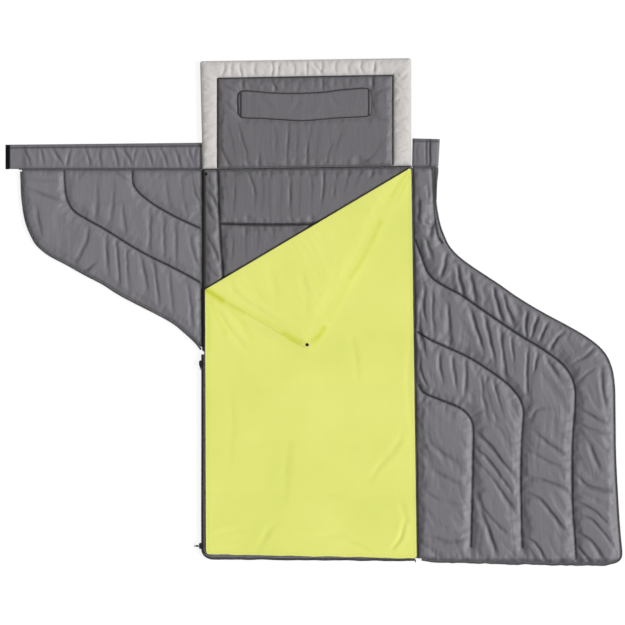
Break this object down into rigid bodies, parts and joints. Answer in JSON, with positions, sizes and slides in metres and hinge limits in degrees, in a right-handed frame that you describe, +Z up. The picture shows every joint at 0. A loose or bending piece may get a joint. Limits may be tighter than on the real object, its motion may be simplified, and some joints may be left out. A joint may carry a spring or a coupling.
{
  "type": "rectangular sleeping bag",
  "caption": "Rectangular sleeping bag laid open: padded base with hood and pillow panel, folding cover halves with draft collars and zip, and a thin blanket with a turned-down corner.",
  "frame": {"origin": "underside of the base quilt, under the middle of the body", "axes": "+Z up, +Y towards the head end, +X towards the side where the lower half of the cover is sewn"},
  "size_m": [2.437, 1.9959, 0.0357],
  "materials": {
    "outer_shell_fabric": "matte",
    "base_lining_fabric": "matte",
    "cover_fabric": "matte",
    "polyester_fill": "matte",
    "blanket_fabric": "matte",
    "border_fabric": "matte",
    "binding_tape": "matte",
    "zip_tape": "matte",
    "zip_coil": "satin",
    "hook_and_loop": "matte",
    "press_stud": "satin",
    "slider_metal": "satin"
  },
  "bodies": {
    "base": {"base_shell": "outer_shell_fabric", "base_fill": "polyester_fill", "base_lining": "base_lining_fabric", "base_snap_stud": "press_stud", "upper_cover_seam_tape": "binding_tape", "lower_cover_seam_tape": "binding_tape", "neck_seam_tape": "binding_tape", "base_zip_tape": "zip_tape", "base_zip_coil": "zip_coil", "zip_end_stop": "zip_coil", "blanket": "blanket_fabric"},
    "upper_cover": {"upper_cover_shell": "outer_shell_fabric", "upper_cover_fill": "polyester_fill", "upper_cover_lining": "cover_fabric", "upper_cover_zip_tape": "zip_tape", "upper_cover_zip_coil": "zip_coil", "zip_head_stop": "zip_coil"},
    "upper_collar": {"upper_collar": "cover_fabric", "upper_collar_tab": "cover_fabric", "collar_hook_patch": "hook_and_loop"},
    "lower_cover": {"lower_cover_shell": "outer_shell_fabric", "lower_cover_fill": "polyester_fill", "lower_cover_lining": "cover_fabric", "lower_cover_zip_tape": "zip_tape", "lower_cover_zip_coil": "zip_coil"},
    "lower_collar": {"lower_collar": "cover_fabric", "collar_loop_patch": "hook_and_loop"},
    "hood": {"hood_shell": "outer_shell_fabric", "hood_fill": "polyester_fill", "hood_lining": "base_lining_fabric", "hood_panel_fill": "polyester_fill", "hood_border": "border_fabric", "pillow_panel": "base_lining_fabric"},
    "blanket_corner": {"blanket_corner": "blanket_fabric", "corner_snap_cap": "press_stud", "corner_snap_socket": "press_stud"},
    "head_slider": {"head_slider": "slider_metal"},
    "head_pull": {"head_slider_pull": "slider_metal"},
    "foot_slider": {"foot_slider": "slider_metal"},
    "foot_pull": {"foot_slider_pull": "slider_metal"}
  },
  "joints": [
    {"name": "upper_cover_fold", "type": "hinge", "parent": "base", "child": "upper_cover", "pos_m": [-0.422, 0.405, 0.035], "axis": [0, 1, 0], "range_deg": [0, 179.97]},
    {"name": "lower_cover_fold", "type": "hinge", "parent": "base", "child": "lower_cover", "pos_m": [0.412, 0.002, 0.035], "axis": [0.0129, -0.9999, 0], "range_deg": [0, 179.97]},
    {"name": "upper_collar_fold", "type": "hinge", "parent": "upper_cover", "child": "upper_collar", "pos_m": [-0.8, 0.768, 0.0171], "axis": [1, 0, 0], "range_deg": [0, 179.97]},
    {"name": "lower_collar_fold", "type": "hinge", "parent": "lower_cover", "child": "lower_collar", "pos_m": [0.455, 0.777, 0.0171], "axis": [1, 0, 0], "range_deg": [0, 179.97]},
    {"name": "hood_fold", "type": "hinge", "parent": "base", "child": "hood", "pos_m": [-0.011, 0.774, 0.052], "axis": [0.9999, 0.0145, 0], "range_deg": [0, 179.97]},
    {"name": "blanket_corner_fold", "type": "hinge", "parent": "base", "child": "blanket_corner", "pos_m": [-0.008, 0.5325, 0.0319], "axis": [-0.8604, -0.5097, 0], "range_deg": [0, 179.97]},
    {"name": "head_slider_travel", "type": "slide", "parent": "base", "child": "head_slider", "axis": [0, -1, 0], "range_m": [0, 0.34]},
    {"name": "head_pull_swing", "type": "hinge", "parent": "head_slider", "child": "head_pull", "pos_m": [-0.4315, 0.0025, 0.02075], "axis": [-1, 0, 0], "range_deg": [0, 170]},
    {"name": "foot_slider_travel", "type": "slide", "parent": "base", "child": "foot_slider", "axis": [0, 1, 0], "range_m": [0, 0.34]},
    {"name": "foot_pull_swing", "type": "hinge", "parent": "foot_slider", "child": "foot_pull", "pos_m": [-0.432, -0.718, 0.02075], "axis": [0, 1, 0], "range_deg": [0, 130]}
  ]
}
